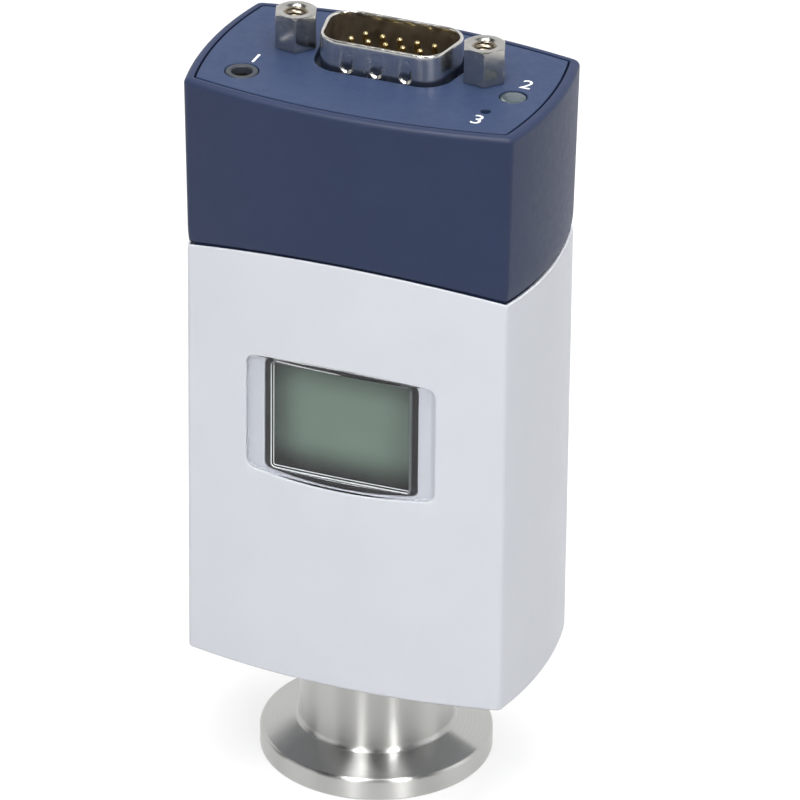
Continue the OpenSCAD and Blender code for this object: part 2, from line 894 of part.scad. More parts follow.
module sensor_header() {
    color([0.7, 0.7, 0.68])
        difference() {
            rod([0, 0], spigot_d, spigot_top_z, header_top_z);
            at_header_pins() rod([0, 0], glass_d, spigot_top_z - cut, header_top_z + cut);
        }
}

module glass_seals() {
    color([0.3, 0.5, 0.45, 0.7])
        at_header_pins()
            difference() {
                rod([0, 0], glass_d, spigot_top_z, header_top_z);
                rod([0, 0], header_pin_d, spigot_top_z - cut, header_top_z + cut);
            }
}

// Four feedthrough pins: the first is long and carries the foot that holds the filament's lower end
module header_pins() {
    foot_z = filament_z - header_pin_d;
    color([0.8, 0.7, 0.45]) {
        at_header_pins() rod([0, 0], header_pin_d, pin_end_z, sensor_board_z + board_t);
        rod([header_pin_r, 0], header_pin_d, foot_z, pin_end_z + cut);
        block([0, 0], 2 * header_pin_r + header_pin_d, header_pin_d, foot_z, header_pin_d);
    }
}

module filament() {
    color([0.35, 0.35, 0.37])
        rod([-header_pin_r, 0], filament_d, filament_z, pin_end_z);
}

housing();
cap();
top_plate();
display_lens();
display_glass();
display_carrier();
backlight();
display_board();
connector_shell();
connector_insulator();
connector_pins();
jackscrews();
jackscrew_nuts();
jack_body();
jack_sleeve();
light_pipe();
status_lamp();
adjust_switch();
adjust_button();
connector_board();
board_strip();
main_board();
display_strip();
sensor_board();
sensor_flange();
ring_nut();
sensor_header();
glass_seals();
header_pins();
filament();
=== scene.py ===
"""Looks of the vacuum gauge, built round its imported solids.

Lengths are in millimetres, and those of the floor and the lamps in metres.
"""

import math

import bmesh
import bpy
from mathutils import Matrix, Vector


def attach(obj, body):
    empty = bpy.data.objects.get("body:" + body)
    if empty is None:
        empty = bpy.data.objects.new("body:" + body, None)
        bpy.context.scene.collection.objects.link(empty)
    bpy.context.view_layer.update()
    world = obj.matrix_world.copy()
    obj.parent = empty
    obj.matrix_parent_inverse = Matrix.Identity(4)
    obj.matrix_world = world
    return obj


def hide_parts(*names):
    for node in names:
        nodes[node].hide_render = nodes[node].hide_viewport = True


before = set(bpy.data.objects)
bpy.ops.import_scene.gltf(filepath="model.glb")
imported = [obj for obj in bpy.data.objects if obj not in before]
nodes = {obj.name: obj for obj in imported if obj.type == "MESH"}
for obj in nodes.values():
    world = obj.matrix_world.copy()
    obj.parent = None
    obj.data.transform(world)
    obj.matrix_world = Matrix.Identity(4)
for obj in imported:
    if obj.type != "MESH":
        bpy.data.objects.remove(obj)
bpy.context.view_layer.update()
MM = 0.001

# Sizes of the body, as in the part's source
CORNER_W, CORNER_D = 42.5, 23.4
FRONT_BOW, SIDE_BOW = 2.5, 1.4
NECK_Z, FLOOR_Z, FLOOR_HOLE_R = 15.6, 18.1, 9.1
SEAM_Z, SEAM_RISE = 75.7, 2.25
TOP_Z, PLATE_Z = 96.5, 94.5
HOUSING_WALL, CAP_WALL = 2.0, 2.4
CAP_FLARE, CAP_TUCK, TUCK_H = 0.395, 0.26, 3.0
GROOVE_H, SEAM_EDGE, SEAM_DROP = 0.4, 0.3, 0.5
EDGE_R, INSIDE_R = 0.8, 0.5
WINDOW_Z = 52.7
LENS_W, LENS_H, LENS_R, LENS_BOW, LENS_T = 25.1, 15.9, 1.3, 0.65, 0.9
OPENING_W, OPENING_H, OPENING_R = 20.5, 15.7, 0.9
PLUG_W, PLUG_H, PLUG_R, PLUG_T = 18.8, 15.2, 0.6, 0.4
LCD_GAP, LCD_T = 0.25, 1.9
CARRIER_W, CARRIER_H, CARRIER_T, CARRIER_MARGIN, CARRIER_GAP = 22.8, 19.2, 2.0, 2.0, 0.1
CONNECTOR_Y = 2.4
SHELL_TOP_Z, SHELL_T = 100.3, 0.45
JACKSCREW_X, JACKSCREW_TOP_Z, JACKSCREW_LOW_Z = 12.495, 101.2, 91.15
JACK = (-15.8, -7.1)
LIGHT = (17.6, -1.0)
ADJUST = (15.9, -6.0)
JACKSCREW_HOLE_R, JACK_HOLE_R, LIGHT_HOLE_R, ADJUST_HOLE_R = 1.5, 2.15, 1.75, 0.625

# Steps of a quarter turn, for rounded edges
QUARTER = [math.radians(a) for a in (22.5, 45, 67.5, 90)]

# Where the middle of a small rounding lies, as a share of its radius
ROUND_MID = 0.3

# Edges that turn by more degrees than this are drawn sharp
SHARP_ANGLE = 35


def bow_radius(half, bow):
    return (half * half + bow * bow) / (2 * bow)


FRONT_RAD = bow_radius(CORNER_W / 2, FRONT_BOW)
SIDE_RAD = bow_radius(CORNER_D / 2, SIDE_BOW)
SEAM_RAD = bow_radius(CORNER_W / 2, SEAM_RISE)
FRONT_C = FRONT_RAD - CORNER_D / 2 - FRONT_BOW
SIDE_C = SIDE_RAD - CORNER_W / 2 - SIDE_BOW


# Mesh tools
class Form:
    """Vertices and faces of one piece."""

    def __init__(self):
        self.verts = []
        self.faces = []
        self.fills = []
        self.marks = []

    def ring(self, points):
        start = len(self.verts)
        self.verts.extend(tuple(p) for p in points)
        return list(range(start, len(self.verts)))

    def bridge(self, a, b):
        n = len(a)
        for i in range(n):
            j = (i + 1) % n
            self.faces.append((a[i], a[j], b[j], b[i]))

    def join(self, loops, closed=False):
        for a, b in zip(loops, loops[1:]):
            self.bridge(a, b)
        if closed:
            self.bridge(loops[-1], loops[0])

    def stack(self, rings, closed=False):
        loops = [self.ring(r) for r in rings]
        self.join(loops, closed)
        return loops

    def fan(self, loop, point):
        centre = self.ring([point])[0]
        for i, a in enumerate(loop):
            self.faces.append((a, loop[(i + 1) % len(loop)], centre))

    def fill(self, *loops):
        self.fills.append(loops)

    def mark(self, start):
        """Gives the faces made since start the second material."""
        self.marks.extend(range(start, len(self.faces)))

    def build(self, name, material, stands_for=(), angle=SHARP_ANGLE, second=None):
        bm = bmesh.new()
        verts = [bm.verts.new(v) for v in self.verts]
        made = [bm.faces.new([verts[i] for i in f]) for f in self.faces]
        for i in self.marks:
            made[i].material_index = 1
        for loops in self.fills:
            edges = []
            for loop in loops:
                for a, b in zip(loop, loop[1:] + loop[:1]):
                    pair = (verts[a], verts[b])
                    edges.append(bm.edges.get(pair) or bm.edges.new(pair))
            bmesh.ops.triangle_fill(bm, use_beauty=True, use_dissolve=False, edges=edges)
        bmesh.ops.recalc_face_normals(bm, faces=bm.faces)
        mesh = bpy.data.meshes.new(name)
        bm.to_mesh(mesh)
        bm.free()
        mesh.transform(Matrix.Scale(MM, 4))
        return place(name, mesh, [material] + ([second] if second else []), stands_for, angle)


def place(name, mesh, materials, stands_for=(), angle=SHARP_ANGLE):
    mesh.shade_smooth()
    mesh.set_sharp_from_angle(angle=math.radians(angle))
    obj = bpy.data.objects.new(name, mesh)
    bpy.context.scene.collection.objects.link(obj)
    for material in materials:
        mesh.materials.append(material)
    weigh = obj.modifiers.new("weighted", "WEIGHTED_NORMAL")
    weigh.keep_sharp = True
    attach(obj, "gauge")
    if stands_for:
        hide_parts(*stands_for)
    return obj


def steps(a, b, n):
    return [a + (b - a) * i / n for i in range(n + 1)]


def rounded(corners, n=5):
    """Closed outline from corners (x, y, radius)."""
    out = []
    count = len(corners)
    for i, (x, y, r) in enumerate(corners):
        p = Vector((x, y))
        if r == 0:
            out.append((x, y))
            continue
        a = (Vector(corners[i - 1][:2]) - p).normalized()
        b = (Vector(corners[(i + 1) % count][:2]) - p).normalized()
        half = a.angle(b) / 2
        centre = p + (a + b).normalized() * (r / math.sin(half))
        start = p + a * (r / math.tan(half)) - centre
        end = p + b * (r / math.tan(half)) - centre
        turn = start.angle_signed(end)
        for k in range(n + 1):
            v = start.copy()
            v.rotate(Matrix.Rotation(-turn * k / n, 2))
            out.append(tuple(centre + v))
    return out


def rectangle(x, y, half_w, half_h, r, n):
    """Rounded rectangle about (x, y), from its lower left corner."""
    signs = ((-1, -1), (1, -1), (1, 1), (-1, 1))
    return rounded([(x + sx * half_w, y + sy * half_h, r) for sx, sy in signs], n)


def resample(outline, longest):
    """Outline with its long edges divided."""
    out = []
    for a, b in zip(outline, outline[1:] + outline[:1]):
        n = max(1, math.ceil(math.dist(a, b) / longest))
        for k in range(n):
            out.append((a[0] + (b[0] - a[0]) * k / n, a[1] + (b[1] - a[1]) * k / n))
    return out


def circle(centre, r, z, n=64):
    return [
        (centre[0] + r * math.cos(2 * math.pi * k / n), centre[1] + r * math.sin(2 * math.pi * k / n), z)
        for k in range(n)
    ]


def lathe(form, profile, n=192):
    """Turns a closed profile of (radius, z) about the upright axis."""
    form.stack([circle((0, 0), r, z, n) for r, z in profile], closed=True)


# Cross-section of the body, with the counts of points on a quarter of it
SIDE_N, CORNER_N, FRONT_N = 12, 8, 24


def section(grow=0.0, fillet=EDGE_R):
    """Points of the section with their outward directions, anticlockwise from +X."""
    r1 = FRONT_RAD + grow - fillet
    r2 = SIDE_RAD + grow - fillet
    apart = math.hypot(SIDE_C, FRONT_C)
    along = (r1 * r1 - r2 * r2 + apart * apart) / (2 * apart)
    across = math.sqrt(r1 * r1 - along * along)
    fx = (-SIDE_C * along + FRONT_C * across) / apart
    fy = -FRONT_C + (FRONT_C * along + SIDE_C * across) / apart
    turn_side = math.atan2(fy, fx + SIDE_C)
    turn_front = math.atan2(fy + FRONT_C, fx)
    arcs = (
        (-SIDE_C, 0, SIDE_RAD + grow, 0, turn_side, SIDE_N),
        (fx, fy, fillet, turn_side, turn_front, CORNER_N),
        (0, -FRONT_C, FRONT_RAD + grow, turn_front, math.pi / 2, FRONT_N),
    )
    quarter = []
    for cx, cy, r, t0, t1, n in arcs:
        for k in range(n):
            t = t0 + (t1 - t0) * k / n
            c, s = math.cos(t), math.sin(t)
            quarter.append((cx + r * c, cy + r * s, c, s))
    end = (0, FRONT_RAD + grow - FRONT_C, 0, 1)
    up = quarter + [end]
    back = up[::-1]
    out = up[:-1]
    out += [(-x, y, -c, s) for x, y, c, s in back[:-1]]
    out += [(-x, -y, -c, -s) for x, y, c, s in up[:-1]]
    out += [(x, -y, c, -s) for x, y, c, s in back[:-1]]
    return out


def seam(x, lift=0.0):
    return SEAM_Z - SEAM_RAD + math.sqrt(SEAM_RAD * SEAM_RAD - x * x) + lift


def face_y(x, depth=0.0):
    r = FRONT_RAD - depth
    return FRONT_C - math.sqrt(r * r - x * x)


def body_ring(base, grow, level):
    """Ring on the section, grown by grow(z) at height level(x). Either may be a number."""
    out = []
    for x, y, c, s in base:
        z = level(x) if callable(level) else level
        g = grow(z) if callable(grow) else grow
        out.append((x + c * g, y + s * g, z))
    return out


# Window outlines, with the counts of points on half the width, the height and half a corner
WINDOW_HALF_N, WINDOW_HEIGHT_N, WINDOW_CORNER_N = 20, 26, 6


def window_loop(w, h, r, bow):
    """Seen from the front, anticlockwise from the middle of the lower left corner."""
    reach, rise = w / 2 - r, h / 2 - r
    lean = math.atan2(2 * bow, reach)

    def corner(sx, sz, a0, a1):
        turns = steps(a0, a1, WINDOW_CORNER_N)
        return [(sx * reach + r * math.cos(a), sz * rise + r * math.sin(a)) for a in turns]

    def long_edge(sz, x0, x1, n):
        return [(x, sz * (h / 2 + bow * (1 - (x / reach) ** 2))) for x in steps(x0, x1, n)][1:-1]

    def short_edge(sx, z0, z1, n):
        return [(sx * w / 2, z) for z in steps(z0, z1, n)][1:-1]

    mid = math.pi / 4
    low, high = -math.pi / 2, math.pi / 2
    long_n = 2 * WINDOW_HALF_N - 2 * WINDOW_CORNER_N
    short_n = WINDOW_HEIGHT_N - 2 * WINDOW_CORNER_N
    out = corner(-1, -1, -math.pi + mid, low - lean)
    out += long_edge(-1, -reach, reach, long_n)
    out += corner(1, -1, low + lean, -mid)
    out += corner(1, -1, -mid, 0)[1:]
    out += short_edge(1, -rise, rise, short_n)
    out += corner(1, 1, 0, mid)
    out += corner(1, 1, mid, high - lean)[1:]
    out += long_edge(1, reach, -reach, long_n)
    out += corner(-1, 1, high + lean, math.pi - mid)
    out += corner(-1, 1, math.pi - mid, math.pi)[1:]
    out += short_edge(-1, rise, -rise, short_n)
    out += corner(-1, -1, -math.pi, -math.pi + mid)[:-1]
    return out


PLUG_Y = face_y(PLUG_W / 2) + LENS_T + PLUG_T
LCD_Y = PLUG_Y + LCD_GAP
CARRIER_Y = face_y(PLUG_W / 2 + CARRIER_MARGIN) + HOUSING_WALL + CARRIER_GAP


def on_front(outline, depth):
    return [(x, face_y(x, depth), WINDOW_Z + z) for x, z in outline]


def on_plane(outline, y):
    return [(x, y, WINDOW_Z + z) for x, z in outline]


def wall(form, base, depth, low_z, high, outline):
    """Upright wall on a section, with a window in its front. Gives its lower, upper and window loops."""
    layers, crowding = 10, 0.8
    n = len(base)
    mid = 3 * n // 4
    first, last = mid - WINDOW_HALF_N, mid + WINDOW_HALF_N
    grid = {}
    for i, (x, y, _, _) in enumerate(base):
        top = high(x)
        for j in range(WINDOW_HEIGHT_N + 1):
            if first < i < last and 0 < j < WINDOW_HEIGHT_N:
                continue
            grid[i, j] = form.ring([(x, y, low_z + (top - low_z) * j / WINDOW_HEIGHT_N)])[0]
    for i in range(n):
        if first <= i < last:
            continue
        k = (i + 1) % n
        for j in range(WINDOW_HEIGHT_N):
            form.faces.append((grid[i, j], grid[k, j], grid[k, j + 1], grid[i, j + 1]))
    rim = [grid[i, 0] for i in range(first, last)]
    rim += [grid[last, j] for j in range(WINDOW_HEIGHT_N)]
    rim += [grid[i, WINDOW_HEIGHT_N] for i in range(last, first, -1)]
    rim += [grid[first, j] for j in range(WINDOW_HEIGHT_N, 0, -1)]
    loops = [rim]
    for k in range(1, layers + 1):
        s = (k / layers) ** crowding
        row = []
        for v, (wx, wz) in zip(rim, outline):
            x = form.verts[v][0] * (1 - s) + wx * s
            z = form.verts[v][2] * (1 - s) + (WINDOW_Z + wz) * s
            row.append((x, face_y(x, depth), z))
        loops.append(form.ring(row))
    form.join(loops)
    low = [grid[i, 0] for i in range(n)]
    up = [grid[i, WINDOW_HEIGHT_N] for i in range(n)]
    return low, up, loops[-1]


# Material tools
NOISE_LOW, NOISE_HIGH, NOISE_ROUGHNESS = 0.3, 0.7, 0.55


class Nodes:
    """A node tree and short ways to add to it."""

    def __init__(self, tree):
        self.tree = tree

    def add(self, kind, **settings):
        node = self.tree.nodes.new(kind)
        for key, value in settings.items():
            setattr(node, key, value)
        return node

    def link(self, a, b):
        self.tree.links.new(a, b)

    def feed(self, socket, value):
        """Gives a socket a number or another node's output."""
        if isinstance(value, (int, float)):
            socket.default_value = value
        else:
            self.link(value, socket)

    def math(self, operation, *values):
        node = self.add("ShaderNodeMath", operation=operation)
        for socket, value in zip(node.inputs, values):
            self.feed(socket, value)
        return node.outputs[0]

    def mix(self, factor, a, b):
        node = self.add("ShaderNodeMix")
        for socket, value in (("Factor", factor), ("A", a), ("B", b)):
            self.feed(node.inputs[socket], value)
        return node.outputs["Result"]

    def split(self, vector):
        node = self.add("ShaderNodeSeparateXYZ")
        self.link(vector, node.inputs[0])
        return node.outputs

    def ramp(self, value, start, end, low, high, kind="SMOOTHSTEP"):
        """Change from low at start to high at end."""
        node = self.add("ShaderNodeMapRange", interpolation_type=kind)
        ends = {"From Min": start, "From Max": end, "To Min": low, "To Max": high}
        for socket, number in ends.items():
            node.inputs[socket].default_value = number
        self.link(value, node.inputs["Value"])
        return node.outputs["Result"]

    def seen_directly(self):
        """1 for rays that show a background: seen, mirrored or through glass."""
        rays = self.add("ShaderNodeLightPath").outputs
        seen = self.math("MAXIMUM", rays["Is Camera Ray"], rays["Is Glossy Ray"])
        return self.math("MAXIMUM", seen, rays["Is Transmission Ray"])


class Look(Nodes):
    """A node material round one principled shader."""

    def __init__(self, name, colour, roughness, metallic=0.0, **sockets):
        self.mat = bpy.data.materials.new(name)
        self.mat.use_nodes = True
        self.mat.diffuse_color = (*colour, 1)
        super().__init__(self.mat.node_tree)
        self.shader = self.tree.nodes["Principled BSDF"]
        self.set("Base Color", (*colour, 1))
        self.set("Roughness", roughness)
        self.set("Metallic", metallic)
        for key, value in sockets.items():
            self.set(key.replace("_", " "), value)
        self.coords = self.add("ShaderNodeTexCoord").outputs["Object"]

    def set(self, socket, value):
        self.shader.inputs[socket].default_value = value

    def noise(self, size, detail=3.0):
        """Noise whose features measure about size millimetres."""
        node = self.add("ShaderNodeTexNoise")
        node.inputs["Scale"].default_value = 1 / (size * MM)
        node.inputs["Detail"].default_value = detail
        node.inputs["Roughness"].default_value = NOISE_ROUGHNESS
        self.link(self.coords, node.inputs["Vector"])
        return node.outputs["Fac"]

    def spread(self, fac, low, high):
        """Numbers from low to high over the range that noise fills."""
        return self.ramp(fac, NOISE_LOW, NOISE_HIGH, low, high, "LINEAR")

    def tint(self, fac, dark, light, low=NOISE_LOW, high=NOISE_HIGH):
        ramp = self.add("ShaderNodeValToRGB")
        ramp.color_ramp.elements[0].position = low
        ramp.color_ramp.elements[0].color = (*dark, 1)
        ramp.color_ramp.elements[1].position = high
        ramp.color_ramp.elements[1].color = (*light, 1)
        self.link(fac, ramp.inputs["Fac"])
        self.link(ramp.outputs["Color"], self.shader.inputs["Base Color"])

    def vary(self, fac, low, high):
        self.link(self.spread(fac, low, high), self.shader.inputs["Roughness"])

    def bump(self, height, strength, distance):
        node = self.add("ShaderNodeBump")
        node.inputs["Strength"].default_value = strength
        node.inputs["Distance"].default_value = distance * MM
        self.link(height, node.inputs["Height"])
        self.link(node.outputs["Normal"], self.shader.inputs["Normal"])


def paint():
    look = Look("white_paint", (0.70, 0.725, 0.775), 0.42, Specular_IOR_Level=0.45)
    look.tint(look.noise(14, 4), (0.685, 0.712, 0.765), (0.715, 0.738, 0.785))
    look.vary(look.noise(2.2, 2), 0.38, 0.47)
    look.bump(look.noise(0.5, 2), 0.10, 0.02)
    return look.mat


def blue_plastic():
    look = Look("blue_plastic", (0.0175, 0.0295, 0.077), 0.5, Specular_IOR_Level=0.32)
    look.tint(look.noise(9, 4), (0.016, 0.0275, 0.073), (0.019, 0.0315, 0.081))
    look.vary(look.noise(1.2, 2), 0.47, 0.53)
    look.bump(look.noise(0.22, 3), 0.08, 0.012)
    return look.mat


# Lighter copy of the cap's blue for the top plate: painted light, for the top that takes more light
def blue_panel():
    look = Look("blue_panel", (0.0235, 0.042, 0.102), 0.48, Specular_IOR_Level=0.3)
    look.tint(look.noise(7, 4), (0.0215, 0.039, 0.096), (0.0255, 0.045, 0.108))
    look.vary(look.noise(1.0, 2), 0.42, 0.54)
    look.bump(look.noise(0.2, 3), 0.2, 0.02)
    return look.mat


def clear_plastic():
    look = Look("clear_plastic", (0.915, 0.92, 0.935), 0.03, IOR=1.3, Transmission_Weight=1.0)
    look.vary(look.noise(3, 2), 0.01, 0.03)
    return look.mat


def frosted_plastic():
    """Painted highlight on the bevelled edge of the window: bright at the left and below, with painted
    shade at the right and above.
    """
    look = Look("frosted_plastic", (0.86, 0.9, 0.9), 0.4)
    x, _, z = look.split(look.coords)
    side, top, in_shade = PLUG_W / 2, WINDOW_Z + PLUG_H / 2, 0.2
    lit = look.ramp(x, (side - 0.7) * MM, (side - 0.3) * MM, 1.0, in_shade)
    lit = look.math("MULTIPLY", lit, look.ramp(z, (top - 0.9) * MM, (top - 0.4) * MM, 1.0, in_shade))
    lit = look.math("MULTIPLY", lit, look.spread(look.noise(1.5, 3), 0.9, 1.0))
    look.tint(lit, (0.02, 0.025, 0.03), (0.9, 0.94, 0.94), 0.0, 1.0)
    return look.mat


def lcd_film():
    """Grey-green film with painted shade, darker toward its edges and most of all below."""
    look = Look("lcd_film", (0.182, 0.25, 0.2), 0.35, Specular_IOR_Level=0.1)
    x, _, z = look.split(look.coords)
    side, low, top = PLUG_W / 2, WINDOW_Z - PLUG_H / 2 - 0.1, WINDOW_Z + PLUG_H / 2
    side_fade, low_fade, top_fade = 4.9, 5.5, 4.3
    shade = look.ramp(x, -side * MM, (side_fade - side) * MM, 0.35, 1.0)
    shade = look.math("MULTIPLY", shade, look.ramp(x, (side - side_fade) * MM, side * MM, 1.0, 0.68))
    shade = look.math("MULTIPLY", shade, look.ramp(z, low * MM, (low + low_fade) * MM, 0.12, 1.0))
    shade = look.math("MULTIPLY", shade, look.ramp(z, (top - top_fade) * MM, top * MM, 1.0, 0.55))
    cloud = look.spread(look.noise(5, 4), -0.04, 0.04)
    look.tint(look.math("ADD", shade, cloud), (0.012, 0.014, 0.014), (0.182, 0.25, 0.2), 0.1, 1.0)
    look.vary(look.noise(0.6, 2), 0.3, 0.4)
    return look.mat


def cut_glass():
    look = Look("cut_glass", (0.5, 0.55, 0.53), 0.15, IOR=1.5, Transmission_Weight=0.6)
    look.vary(look.noise(0.8, 3), 0.1, 0.25)
    return look.mat


def black_plastic(name="black_plastic", gloss=0.5):
    look = Look(name, (0.014, 0.014, 0.016), 0.5, Specular_IOR_Level=gloss)
    look.tint(look.noise(4, 3), (0.012, 0.012, 0.014), (0.017, 0.017, 0.019))
    look.vary(look.noise(0.8, 2), 0.42, 0.58)
    look.bump(look.noise(0.2, 2), 0.15, 0.02)
    return look.mat


def grey_plastic():
    look = Look("grey_plastic", (0.028, 0.034, 0.046), 0.45)
    look.tint(look.noise(3, 3), (0.024, 0.03, 0.041), (0.032, 0.038, 0.05))
    look.vary(look.noise(0.8, 2), 0.38, 0.52)
    return look.mat


def insulator():
    look = Look("insulator", (0.03, 0.02, 0.01), 0.55, Specular_IOR_Level=0.3)
    look.tint(look.noise(3, 3), (0.024, 0.016, 0.008), (0.036, 0.025, 0.013))
    look.vary(look.noise(0.7, 2), 0.48, 0.62)
    look.bump(look.noise(0.25, 2), 0.15, 0.02)
    return look.mat


def white_plastic():
    look = Look("white_plastic", (0.78, 0.79, 0.76), 0.45)
    look.tint(look.noise(5, 3), (0.76, 0.77, 0.74), (0.8, 0.81, 0.78))
    look.bump(look.noise(0.3, 2), 0.1, 0.02)
    return look.mat


def board():
    look = Look("board", (0.015, 0.1, 0.05), 0.4)
    look.tint(look.noise(1.5, 2), (0.012, 0.085, 0.042), (0.02, 0.12, 0.06))
    look.vary(look.noise(2, 2), 0.32, 0.5)
    return look.mat


def nickel(name="nickel", level=1.0):
    dark, mid, light = (
        tuple(level * c for c in shade)
        for shade in ((0.63, 0.615, 0.58), (0.68, 0.67, 0.64), (0.72, 0.715, 0.69)))
    look = Look(name, mid, 0.22, metallic=1.0)
    look.tint(look.noise(2.5, 4), dark, light)
    look.vary(look.noise(0.9, 4), 0.16, 0.28)
    look.bump(look.noise(1.6, 3), 0.12, 0.03)
    return look.mat


# Darker, browner copy of the nickel for the inside of the connector shell and the threads of the
# jackscrew holes: painted shade
def dull_nickel():
    look = Look("dull_nickel", (0.3, 0.26, 0.2), 0.4, metallic=1.0)
    look.tint(look.noise(2, 4), (0.26, 0.22, 0.165), (0.34, 0.3, 0.24))
    look.vary(look.noise(0.9, 3), 0.32, 0.48)
    return look.mat


def gold():
    look = Look("gold", (0.66, 0.51, 0.25), 0.25, metallic=1.0)
    look.tint(look.noise(0.8, 3), (0.6, 0.45, 0.2), (0.72, 0.57, 0.3))
    look.vary(look.noise(0.5, 2), 0.18, 0.32)
    return look.mat


def stainless():
    """Turned steel: fine rings about the axis."""
    look = Look("stainless", (0.53, 0.528, 0.512), 0.34, metallic=1.0, Anisotropic=0.97,
                Anisotropic_Rotation=0.25)
    x, y, z = look.split(look.coords)
    squares = look.math("ADD", look.math("MULTIPLY", x, x), look.math("MULTIPLY", y, y))
    radius = look.math("SQRT", squares)
    # Unlike rates outward and upward, so that the rings run on round every edge
    outward, upward = 1000.0, 1700.0
    across = look.math("ADD", look.math("MULTIPLY", radius, outward), look.math("MULTIPLY", z, upward))
    rings = look.add("ShaderNodeTexNoise", noise_dimensions="1D")
    rings.inputs["Scale"].default_value = 9.0
    rings.inputs["Detail"].default_value = 3.0
    look.link(across, rings.inputs["W"])
    look.tint(rings.outputs["Fac"], (0.515, 0.513, 0.499), (0.545, 0.543, 0.527))
    # The clamp cone is turned smoother than the tube
    facing = look.split(look.add("ShaderNodeNewGeometry").outputs["Normal"])
    polish = look.ramp(facing["Z"], 0.6, 0.9, 1.0, 0.72)
    rough = look.math("MULTIPLY", look.spread(rings.outputs["Fac"], 0.31, 0.37), polish)
    look.link(rough, look.shader.inputs["Roughness"])
    look.bump(rings.outputs["Fac"], 0.014, 0.006)
    tangent = look.add("ShaderNodeTangent", direction_type="RADIAL", axis="Z")
    look.link(tangent.outputs["Tangent"], look.shader.inputs["Tangent"])
    return look.mat


def steel():
    look = Look("steel", (0.55, 0.55, 0.54), 0.35, metallic=1.0)
    look.tint(look.noise(3, 3), (0.5, 0.5, 0.49), (0.6, 0.6, 0.59))
    look.vary(look.noise(1, 2), 0.28, 0.42)
    return look.mat


def light_plastic():
    look = Look("light_plastic", (0.052, 0.072, 0.086), 0.25)
    look.tint(look.noise(1.6, 3), (0.042, 0.06, 0.072), (0.064, 0.086, 0.1))
    look.vary(look.noise(0.6, 2), 0.18, 0.34)
    return look.mat


def seal_glass():
    look = Look("seal_glass", (0.12, 0.3, 0.25), 0.15)
    look.tint(look.noise(0.6, 2), (0.1, 0.26, 0.21), (0.15, 0.34, 0.28))
    return look.mat


def tungsten():
    look = Look("tungsten", (0.3, 0.3, 0.32), 0.4, metallic=1.0)
    look.tint(look.noise(0.3, 2), (0.24, 0.24, 0.26), (0.36, 0.36, 0.38))
    return look.mat


def print_ink():
    look = Look("print_ink", (0.8, 0.81, 0.82), 0.5)
    look.tint(look.noise(0.25, 3), (0.72, 0.73, 0.75), (0.84, 0.85, 0.86))
    return look.mat


PAINT, BLUE, LIT_BLUE = paint(), blue_plastic(), blue_panel()
CLEAR, FILM, GLASS = clear_plastic(), lcd_film(), cut_glass()
EDGE_HIGHLIGHT, SHADED_NICKEL = frosted_plastic(), dull_nickel()
BLACK, MATT = black_plastic(), black_plastic("matt_plastic", 0.15)
GREY, INSULATOR = grey_plastic(), insulator()
WHITE, BOARD = white_plastic(), board()
# The jackscrews take a darker copy of the nickel: painted shade
NICKEL, DARKER_NICKEL, GOLD = nickel(), nickel("darker_nickel", 0.72), gold()
STAINLESS, STEEL = stainless(), steel()
LIGHT_PLASTIC, SEAL, TUNGSTEN, INK = light_plastic(), seal_glass(), tungsten(), print_ink()


# Housing: closed shell with a rounded base, an arched upper edge and the stepped window
def make_housing():
    form = Form()
    outer = section()
    inner = section(-HOUSING_WALL, INSIDE_R)
    base_r, edge_r, lip_r, gap, mouth, seam_r = 0.4, 0.15, 0.14, 0.1, 0.08, 0.04

    def lens_seat(extra):
        g = gap + extra
        return window_loop(LENS_W + 2 * g, LENS_H + 2 * g, LENS_R + g, LENS_BOW)

    opening = window_loop(OPENING_W, OPENING_H, OPENING_R, LENS_BOW)
    low, up, window = wall(form, outer, 0, NECK_Z + base_r, lambda x: seam(x, -edge_r), lens_seat(lip_r))
    rings = []
    for t in QUARTER:
        rings.append(body_ring(outer, -base_r * (1 - math.cos(t)), NECK_Z + base_r * (1 - math.sin(t))))
    hole = []
    for x, y, _, _ in outer:
        d = math.hypot(x, y)
        hole.append((FLOOR_HOLE_R * x / d, FLOOR_HOLE_R * y / d))
    rings.append([(x, y, NECK_Z) for x, y in hole])
    rings.append([(x, y, FLOOR_Z) for x, y in hole])
    under = [form.ring(r) for r in rings]
    form.join([low] + under)
    top = []
    for t in QUARTER:
        top.append(form.ring(body_ring(
            outer, -edge_r * (1 - math.cos(t)), lambda x, t=t: seam(x, -edge_r * (1 - math.sin(t))))))
    for g, lift in ((seam_r - SEAM_EDGE, 0), (-SEAM_EDGE, -seam_r), (-SEAM_EDGE, -SEAM_DROP)):
        top.append(form.ring(body_ring(outer, g, lambda x, lift=lift: seam(x, lift))))
    form.join([up] + top)
    in_low, in_up, in_window = wall(
        form, inner, HOUSING_WALL, FLOOR_Z, lambda x: seam(x, -SEAM_DROP), opening)
    form.bridge(top[-1], in_up)
    form.bridge(in_low, under[-1])
    frames = []
    for t in QUARTER:
        frames.append(on_front(lens_seat(lip_r * (1 - math.sin(t))), lip_r * (1 - math.cos(t))))
    frames.append(on_front(lens_seat(0), LENS_T))
    wide = window_loop(OPENING_W + 2 * mouth, OPENING_H + 2 * mouth, OPENING_R + mouth, LENS_BOW)
    frames.append(on_front(wide, LENS_T))
    frames.append(on_front(opening, LENS_T + mouth))
    form.join([window] + [form.ring(f) for f in frames] + [in_window])
    form.build("housing_shell", PAINT, ["housing"])


# Cap: tucked in at the seam, leaning out, rounded at the top, with the pocket for its plate
def cap_grow(z):
    s = (z - SEAM_Z + SEAM_RISE) / TUCK_H
    if s < 1:
        return -CAP_TUCK * (1 - max(s, 0)) ** 2
    low = SEAM_Z - SEAM_RISE + TUCK_H
    return CAP_FLARE * (z - low) / (TOP_Z - low)


